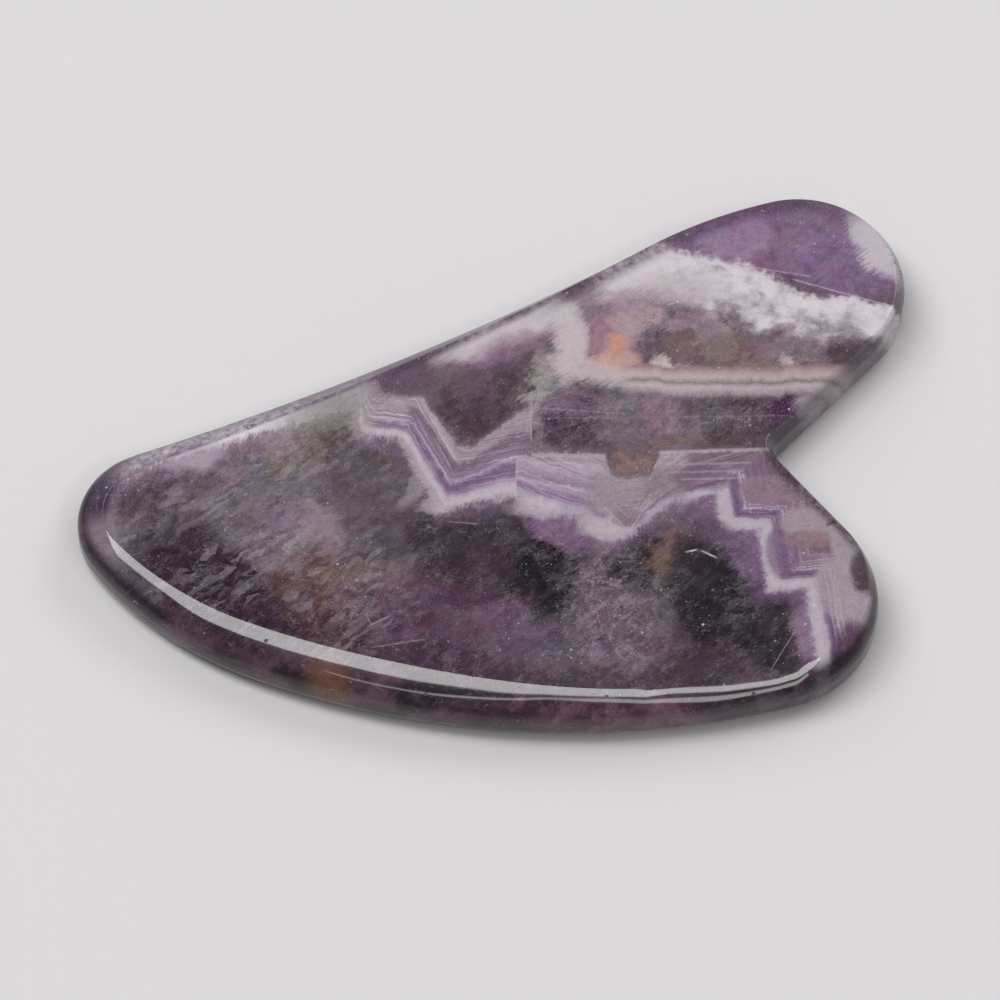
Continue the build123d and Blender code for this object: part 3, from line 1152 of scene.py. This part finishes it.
# %% The banded seam
seam_step = band_X.rise(18.9, 19.4) * 0.35 - band_X.rise(32.4, 33.0) * 0.3
seam_Y = band_Y + seam_step
in_seams = plan_x.rise(13.5, 16.5) * plan_x.rise(41.5, 39.0)
seam_stops = [
    (0.00, "6a5c66"), (0.08, "766971"), (0.20, "9b8f95"), (0.34, "b7aaad"), (0.42, "a6989b"),
    (0.47, "84767a"), (0.52, "9d8e90"), (0.60, "b5a7a6"), (0.68, "b1a1a0"), (0.74, "ac9498"),
    (0.80, "9c8385"), (0.88, "897378"), (1.00, "7a6668"),
]
seam_level = (seam_Y - 6.9) / 5.0
in_seam_band = (seam_level + hair_down * 0.3).rise(0.0, 0.16) * (seam_level + lumps * 0.2).rise(0.98, 0.84)
in_seam_band = in_seam_band * in_seams
seam_colour = ramp(seam_level + hair_down * 0.10 + lumps * 0.06, seam_stops)
stone_colour = mix(stone_colour, seam_colour, in_seam_band * 0.9)
tell("banded seam")

# %% Fine veins, edges and scratches, and two painted glints
# name, corners, half thickness, colour, share
seam_lines = [
    ("growth end", [(18.8, -0.3), (32.0, 0.2)], 0.26, "b0a4ac", 0.8),
    ("first lilac line", [(19.5, -1.9), (29.0, -1.6)], 0.12, "a596a6", 0.6),
    ("second lilac line", [(20.0, -2.9), (28.0, -2.7)], 0.12, "a192a2", 0.6),
    ("third lilac line", [(21.0, -3.8), (28.0, -3.6)], 0.10, "a799a8", 0.6),
    ("needle line", [(6.0, 4.2), (34.0, 4.6)], 0.05, "8d7d8a", 0.4),
    ("square line", [(5.0, 5.6), (15.0, 4.8)], 0.08, "9d869f", 0.5),
    ("square foot", [(4.8, -0.7), (12.8, -0.7)], 0.26, "a89da4", 0.7),
    ("lobe vein", [(25.5, 25.2), (36.0, 23.2)], 0.08, "ad9cad", 0.6),
    ("second lobe vein", [(34.0, 22.8), (45.5, 19.0)], 0.09, "b3a2b1", 0.7),
    ("wedge edge", [(12.6, -7.4), (15.3, -10.6), (17.6, -6.6)], 0.16, "b0a4ae", 0.7),
    ("inner wedge edge", [(13.8, -7.0), (15.3, -8.8), (16.6, -6.4)], 0.10, "a99da8", 0.6),
    ("V scratch", [(-13.6, -21.2), (-12.9, -22.5), (-10.9, -21.4)], 0.05, "a89ca4", 0.7),
    ("long scratch", [(-12.8, -25.4), (-7.2, -24.4)], 0.05, "9c8d98", 0.6),
    ("fine scratch", [(-4.5, -9.3), (-1.2, -9.6)], 0.05, "8d8090", 0.6),
    # two painted highlights: a crack that catches the light, painted as bright strokes
    ("painted glint", [(21.6, -13.2), (22.7, -12.9)], 0.08, "cfc5cf", 0.8),
    ("second glint", [(23.3, -13.1), (24.8, -13.9)], 0.10, "cfc5cf", 0.8),
    ("feather", [(30.6, -28.2), (31.8, -26.0), (33.3, -23.4)], 0.06, "b5a8b2", 0.6),
    ("tail scratch", [(-31.0, -8.2), (-26.0, -4.0)], 0.05, "8d8090", 0.6),
]
for name, corners, half, code, share in seam_lines:
    level = Y - zigzag(X, corners, 0) + lumps * 0.2
    seam = abs(level).rise(half + 0.1, half * 0.4) * X.rise(corners[0][0] - 0.3, corners[0][0] + 0.3)
    end = corners[-1][0]
    broken = (lumps * 1.6 + 0.8) * share
    stone_colour = mix(stone_colour, colour(code), seam * X.rise(end + 0.3, end - 0.3) * broken)
print("fine lines:", len(seam_lines))

# %% The two slips and the rust
upper_slip = abs(plan_x - right_slip_x).rise(0.14, 0.02) * Y.rise(1.0, 1.6) * Y.rise(8.6, 6.0)
lower_slip = abs(plan_x - left_slip_x).rise(0.14, 0.02) * Y.rise(-6.4, -5.6) * Y.rise(-0.4, -1.2)
stone_colour = mix(stone_colour, colour("b5abb1"), upper_slip.most(lower_slip) * (lumps * 2.0 + 0.45))

# name, x, y, reach x, reach y, turn, colour, share
rust_zones = [
    ("orange halo", 14.4, 13.2, 1.7, 2.0, 0, "b39591", 0.6),
    ("orange spot", 14.5, 13.8, 0.8, 1.5, 0, "c08d72", 0.85),
    ("rust rim", 15.7, -2.8, 1.9, 0.5, 0, smoke_rose, 0.6),
    ("brown grain", 37.4, -9.6, 0.4, 0.3, 30, "6b4a3c", 0.8),
]
stone_colour = lay(stone_colour, mixed_P, rust_zones, softness=0.4)
window_X, window_Y = split(bent(P, 2.0, (1.0, 1.0, 0.6)))[:2]
rust_window = (abs(window_X - 15.8) - 2.4).rise(1.0, -1.4) * (abs(window_Y + 1.5) - 1.8).rise(0.8, -1.2)
rust_brown = mix(colour("6d595b"), colour("8c7065"), puffs.rise(0.35, 0.65))
stone_colour = mix(stone_colour, rust_brown, rust_window * (lumps * 1.6 + 0.7))
tell("slips and rust")

# %% [markdown]
# ## Shade along the outline
# Near the rim, light leaves the stone through the wall instead of coming back, so a narrow strip of the
# face is painted darker along the back, in the notch and at the tail, as shade. Each point of the face
# carries its distance from the edge, so the painted shade can follow the outline without a drawing of it.

# %% Paint shade along the back, the notch and the tail
edge_gap = stone.value("ShaderNodeAttribute", {"attribute_name": "edge_gap"}, {}, out="Fac")
back_slope = 0.35
back_height = (4.5, 7.5)
on_back = (Y - X * back_slope).rise(*back_height) * plan_x.rise(42.0, 36.0)
past_peak = plan_x.rise(4.0, 10.0)
back_shade = edge_gap.rise(1.2, 0.2).most(edge_gap.rise(2.4, 0.6) * past_peak)
back_shade = back_shade * on_back * (lumps * 1.6 + 0.65) * plan_x.rise(-16.0, -10.0)
stone_colour = mix(stone_colour, colour("4d364f"), back_shade)
# a thin purple line of painted shade along the back's left edge
purple_shade_line = edge_gap.rise(0.5, 0.1) * plan_x.rise(-9.0, -14.0) * (Y - X * back_slope).rise(*back_height)
stone_colour = mix(stone_colour, colour("5c4762"), purple_shade_line * (lumps * 2.0 + 0.6))
in_notch = plan_x.rise(29.5, 31.5) * Y.rise(5.0, 2.5) * Y.rise(-15.0, -11.0)
notch_shade = edge_gap.rise(1.3, 0.2) * in_notch * (lumps * 2.0 + 0.75)
stone_colour = mix(stone_colour, colour("3f2c3c"), notch_shade)
tail_shade = edge_gap.rise(1.6, 0.1) * plan_x.rise(-40.0, -43.0) * Y.rise(-10.0, -7.0)
stone_colour = mix(stone_colour, colour("3c2a44"), tail_shade)
tell("shade along the outline")

# %% [markdown]
# ## The deep edge
# Looked at through its edge, the stone is much thicker, so its purple turns dark and red. The bevel and
# the walls therefore get a painted shade, dark and reddish, that sets in with the depth below the face.

# %% Paint shade deepening towards the walls
tail_end = plan_x.rise(-24.0, -36.0)
# deep is the share of painted shade on the bevel and the walls
deep = (depth - tail_end * 0.5).rise(0.1, 0.9)
painted_wall_shade = mix(colour("160810"), colour("523a48"), noise(cloud_P, 4.0, 3.0).rise(0.42, 0.70))
red_wall_shade = mix(colour("3c1c2c"), colour("6b4a58"), noise(cloud_P, 4.0, 3.0).rise(0.40, 0.66))
painted_wall_shade = mix(painted_wall_shade, red_wall_shade, plan_x.rise(-6.0, 10.0) * plan_x.rise(30.0, 20.0) * 0.8)
brown_foot = plan_x.rise(-21.0, -18.5) * plan_x.rise(-14.0, -16.5)
painted_wall_shade = mix(painted_wall_shade, colour("6d4a36"), brown_foot * 0.7)
stone_colour = mix(stone_colour, painted_wall_shade, deep * (Y.rise(4.0, -10.0) * 0.5 + 0.38))
tell("deep edge")

# %% [markdown]
# ## Needles, threads and specks
# Close up, the quartz is full of fine things: brushed strands, healed cracks, hair needles and bubbles
# that catch the light. Each is one noise or one field of cells, drawn out or thinned to the right form.

# %% Roughen the colour
grain = noise(P, 0.20, 3.0, 0.75)
mottle = noise(P, 0.9, 4.0, 0.66)
rough_look = strands * 0.25 + (grain - 0.5) * 1.6 + (mottle - 0.5) * 0.9
paleness = stone.value("ShaderNodeRGBToBW", {}, {"Color": stone_colour})
shade = 1.0 + rough_look * (1.05 - paleness * 1.5).most(0.3)
stone_colour = mix(stone_colour, shade, 1.0, "MULTIPLY")
tell("rough colour")

# %% Fibres, healed cracks and threads
fibre_field = noise(mapped(wisp_P, (0, 0, 5), 44, (1.5, 0.34, 1.0)), 1.0, 3.0, 0.55)
fibres = abs(fibre_field - 0.5).rise(0.030, 0.0) * noise(P, 1.6, 2.0).rise(0.46, 0.62)
stone_colour = mix(stone_colour, colour("b3a8b4"), fibres * (strength * 0.26 + 0.06) * (1.0 - deep))
crack_settings = {"feature": "DISTANCE_TO_EDGE", "voronoi_dimensions": "2D"}
crack_sockets = {"Vector": mixed_P, "Scale": 0.55, "Randomness": 1.0}
cracks = stone.value("ShaderNodeTexVoronoi", crack_settings, crack_sockets, out="Distance")
crackle = cracks.rise(0.035, 0.0) * noise(P, 2.4, 2.0).rise(0.48, 0.64)
stone_colour = mix(stone_colour, colour("dcd4da"), crackle * (1.0 - deep) * busy.most(in_cloud) * 0.16)

threads = noise(mapped(cloud_P, (5, 0, 0), 30, (1.6, 0.10, 0.6)), 1.0, 3.0, 0.6)
thread_field = noise(P, 3.0, 2.0).rise(0.42, 0.62)
stone_colour = mix(stone_colour, colour("b0a5b0"), threads.rise(0.60, 0.72) * thread_field * 0.7)
tell("fibres, cracks and threads")


# %% Bright specks, partly painted sparkle
def speck_field(per_mm, largest, least_share):
    """Small bright dots, one in each chosen cell, drawn down through the stone as needles."""
    sockets = {"Vector": P, "Scale": per_mm, "Randomness": 1.0}
    cells = stone.node("ShaderNodeTexVoronoi", {"feature": "F1", "voronoi_dimensions": "2D"}, sockets)
    dice = split(Value(stone, cells.outputs["Color"]))
    size = (dice[0] ** 3.0 * largest + 0.05) * per_mm
    found = (size - Value(stone, cells.outputs["Distance"])).rise(0.0, 0.03 * per_mm)
    return found * dice[1].above(least_share) * (dice[2] * 0.6 + 0.4)


# the specks are white bubbles and flecks, and partly painted sparkle where they would catch the light
speck_clusters = noise(P, 6.0, 2.0).rise(0.46, 0.66) * 0.9 + 0.12
speck_clusters = speck_clusters.most(blob(wisp_P, 9.5, -23.0, 4.5, 5.0, turn=0, softness=0.5, share=1.0))
large_specks = speck_field(per_mm=0.9, largest=0.12, least_share=0.70)
small_specks = speck_field(per_mm=1.9, largest=0.04, least_share=0.80)
specks = large_specks.most(small_specks)
stone_colour = mix(stone_colour, colour("d3cbd2"), specks * speck_clusters * (1.0 - deep) * 0.8)
tell("specks")

# %% [markdown]
# ## Polish
# Polished quartz is smooth and glassy, so its colour sits under a clear gloss. The gloss is broken only
# where a grain came out and left a pit. A pit is far too small to be modelled, so a bump and a rougher
# spot stand for it. Light that enters the stone isn't traced: the layers and the tints above stand for it.

# %% Pit the surface
pit_sockets = {"Vector": bent(P, 0.5, (0.5, 0.5, 0.5)), "Scale": 0.62, "Randomness": 1.0}
pits = stone.node("ShaderNodeTexVoronoi", {"feature": "F1"}, pit_sockets)
pit_dice = split(Value(stone, pits.outputs["Color"]))
pit = (pit_dice[0] ** 4.0 * 0.14 + 0.03 - Value(stone, pits.outputs["Distance"])).rise(-0.02, 0.03)
roughness = 0.04 + pit * 0.5 + grain * 0.006
height = grain * 0.0015 - pit
bump_sockets = {"Strength": 0.35, "Distance": 0.05 * MM, "Height": height}
bump = stone.value("ShaderNodeBump", {}, bump_sockets, out="Normal")
tell("pits")

# %% Put the stone's shader together
quartz_ior = 1.544
shader = stone.node(
    "ShaderNodeBsdfPrincipled",
    {},
    {
        "Base Color": stone_colour,
        "Roughness": roughness,
        "Normal": bump,
        "IOR": quartz_ior,
    },
)
stone.node("ShaderNodeOutputMaterial", {}, {"Surface": shader.outputs[0]})
tell("shader")

# %% Finish the plate and put it in the CAD node's place
finish_by_hand(stone_body, amethyst)
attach(stone_body, "root")
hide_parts("stone_plate")
print("finished faces:", len(stone_body.data.polygons))

# %% [markdown]
# ## The studio
# The plate lies on a plain pale table, in a soft world that is pale near the horizon. The bright line
# along the bevel is a lamp's reflection. The bevel faces another way at each of its points, so a straight
# lamp would light only a short stretch of it. Two curved lamps are made instead, as strips of faces between
# a low and a high row of directions: a long one for the broad line and a thin one for the line beside it.
# Two straight boxes stand behind the plate, for its back edge.

# %% Lay the table
floor_mesh = bpy.data.meshes.new("table")
floor_half = 3.0
floor_corners = [(x * floor_half, y * floor_half, 0) for x, y in [(-1, -1), (1, -1), (1, 1), (-1, 1)]]
floor_mesh.from_pydata(floor_corners, [], [(0, 1, 2, 3)])
floor = bpy.data.objects.new("table", floor_mesh)
bpy.context.scene.collection.objects.link(floor)
floor.location.z = -0.02 * MM
table_paint = bpy.data.materials.new("table_paint")
table_paint.use_nodes = True
paint = table_paint.node_tree.nodes["Principled BSDF"]
paint.inputs["Base Color"].default_value = colour("d9d7d8")
paint.inputs["Roughness"].default_value = 0.9
floor_mesh.materials.append(table_paint)
print("table reaches:", floor_half, "m each way")

# %% Light the room softly
studio = bpy.data.worlds.new("studio")
bpy.context.scene.world = studio
studio.use_nodes = True
sky = Tree(studio.node_tree)
studio.node_tree.nodes.clear()
way_up = sky.node("ShaderNodeSeparateXYZ", {}, {0: sky.node("ShaderNodeTexCoord").outputs["Generated"]})
sky_tones = [(0.0, "c4c2c4"), (0.25, "9d9b9e"), (0.55, "6e6c70"), (1.0, "6e6c70")]
sky_stops = [(place, colour(code)) for place, code in sky_tones]
sky_colour = sky.node("ShaderNodeValToRGB", {"stops": sky_stops}, {"Fac": way_up.outputs["Z"]})
background = sky.node("ShaderNodeBackground", {}, {"Color": sky_colour.outputs["Color"], "Strength": 1.0})
sky.node("ShaderNodeOutputWorld", {}, {"Surface": background.outputs[0]})
print("sky nodes:", len(studio.node_tree.nodes))

# %% A curved lamp
panel_distance = 3.0


def glowing_panel(name, edges, radiance):
    """A curved lamp, made of faces between a row of low places and a row of high ones."""
    corners = [Vector(way).normalized() * panel_distance for pair in edges for way in pair]
    faces = [(2 * n, 2 * n + 1, 2 * n + 3, 2 * n + 2) for n in range(len(edges) - 1)]
    glow = bpy.data.materials.new(name)
    glow.use_nodes = True
    glow.node_tree.nodes.clear()
    tree = Tree(glow.node_tree)
    emission = tree.node("ShaderNodeEmission", {}, {"Color": (1.0, 1.0, 1.0, 1.0), "Strength": radiance})
    tree.node("ShaderNodeOutputMaterial", {}, {"Surface": emission.outputs[0]})
    mesh = bpy.data.meshes.new(name)
    mesh.from_pydata(corners, [], faces)
    mesh.materials.append(glow)
    panel = bpy.data.objects.new(name, mesh)
    bpy.context.scene.collection.objects.link(panel)
    panel.visible_camera = False
    panel.visible_shadow = False
    print(name, "faces:", len(faces))


# %% The long lamp and the thin one
# the direction of the low edge and of the high edge, from the tail round to the lower lobe
long_panel = [
    ((-0.68, 0.30, 0.66), (-0.58, 0.36, 0.73)),
    ((-0.68, 0.04, 0.73), (-0.40, 0.28, 0.87)),
    ((-0.53, -0.02, 0.85), (-0.32, 0.24, 0.91)),
    ((-0.44, -0.08, 0.90), (-0.25, 0.20, 0.95)),
    ((-0.31, -0.10, 0.94), (-0.19, 0.14, 0.97)),
    ((-0.26, -0.11, 0.96), (-0.15, 0.12, 0.98)),
    ((-0.22, -0.12, 0.97), (-0.13, 0.10, 0.99)),
    ((-0.19, -0.15, 0.97), (-0.11, 0.08, 0.99)),
    ((-0.16, -0.20, 0.97), (-0.10, 0.05, 0.99)),
    ((-0.13, -0.27, 0.95), (-0.08, 0.00, 1.00)),
    ((-0.10, -0.33, 0.94), (-0.05, -0.10, 0.99)),
    ((-0.05, -0.42, 0.91), (-0.02, -0.26, 0.96)),
    ((0.03, -0.51, 0.86), (0.03, -0.43, 0.90)),
    ((0.08, -0.51, 0.86), (0.08, -0.44, 0.89)),
    ((0.16, -0.58, 0.80), (0.16, -0.52, 0.84)),
    ((0.24, -0.61, 0.75), (0.23, -0.55, 0.79)),
    ((0.43, -0.52, 0.73), (0.36, -0.42, 0.83)),
    ((0.50, -0.44, 0.75), (0.48, -0.40, 0.78)),
]
thin_panel = [
    ((-0.28, -0.21, 0.94), (-0.28, -0.20, 0.94)),
    ((-0.22, -0.25, 0.94), (-0.22, -0.24, 0.945)),
    ((-0.17, -0.30, 0.94), (-0.17, -0.28, 0.945)),
    ((-0.10, -0.38, 0.93), (-0.10, -0.36, 0.93)),
    ((-0.05, -0.47, 0.88), (-0.05, -0.44, 0.90)),
    ((0.03, -0.58, 0.82), (0.03, -0.54, 0.84)),
    ((0.08, -0.61, 0.79), (0.08, -0.56, 0.82)),
    ((0.17, -0.68, 0.71), (0.16, -0.62, 0.77)),
    ((0.25, -0.68, 0.69), (0.24, -0.64, 0.73)),
    ((0.40, -0.60, 0.70), (0.38, -0.57, 0.73)),
]
glowing_panel("long_panel", long_panel, radiance=7.4)
glowing_panel("thin_panel", thin_panel, radiance=5.0)

# %% Two boxes behind the plate
box_distance = 1.2


def softbox(name, start, end, height, radiance):
    """A long lamp that faces the plate and reaches from one direction to another."""
    first = Vector(start).normalized() * box_distance
    last = Vector(end).normalized() * box_distance
    lamp = bpy.data.lights.new(name, "AREA")
    lamp.shape = "RECTANGLE"
    lamp.size = (last - first).length
    lamp.size_y = height
    lamp.energy = radiance * math.pi * lamp.size * lamp.size_y
    made = bpy.data.objects.new(name, lamp)
    bpy.context.scene.collection.objects.link(made)
    made.location = (first + last) / 2
    along_box = (last - first).normalized()
    from_plate = made.location.normalized()
    across_box = from_plate.cross(along_box)
    made.rotation_euler = Matrix((along_box, across_box, from_plate)).transposed().to_euler()
    print(name, "length:", round(lamp.size, 2), "m")


softbox("back left box", (-0.54, 0.64, 0.62), (-0.30, 0.80, 0.62), height=0.5, radiance=2.4)
softbox("back right box", (0.42, 0.62, 0.62), (0.80, 0.10, 0.62), height=0.5, radiance=2.4)

# %% [markdown]
# ## The camera
# It looks down at 58 degrees from a good arm's length through a long lens, so that the plate hardly
# narrows with distance.

# %% Place the camera
view_height = 58.0
view_turn = 7.25
view_distance = 0.8
lens = 259.0
aim_right = 1.11 * MM
aim_down = 3.78 * MM
looked_at = Vector((-growth_shift[0] * MM, -growth_shift[1] * MM, thickness / 2 * MM))
flat = math.cos(math.radians(view_height))
backward = Vector((
    -flat * math.sin(math.radians(view_turn)),
    -flat * math.cos(math.radians(view_turn)),
    math.sin(math.radians(view_height)),
))
camera_data = bpy.data.cameras.new("camera")
camera_data.lens = lens
camera_data.sensor_width = 36.0
camera_data.clip_end = 20.0
camera = bpy.data.objects.new("camera", camera_data)
bpy.context.scene.collection.objects.link(camera)
turn_to_view = backward.to_track_quat("Z", "Y")
right = turn_to_view @ Vector((1, 0, 0))
up = turn_to_view @ Vector((0, 1, 0))
camera.location = looked_at + right * aim_right - up * aim_down + backward * view_distance
camera.rotation_euler = turn_to_view.to_euler()
bpy.context.scene.camera = camera
bpy.context.scene.view_settings.view_transform = "Standard"
print("camera height:", round(camera.location.z, 3), "m")
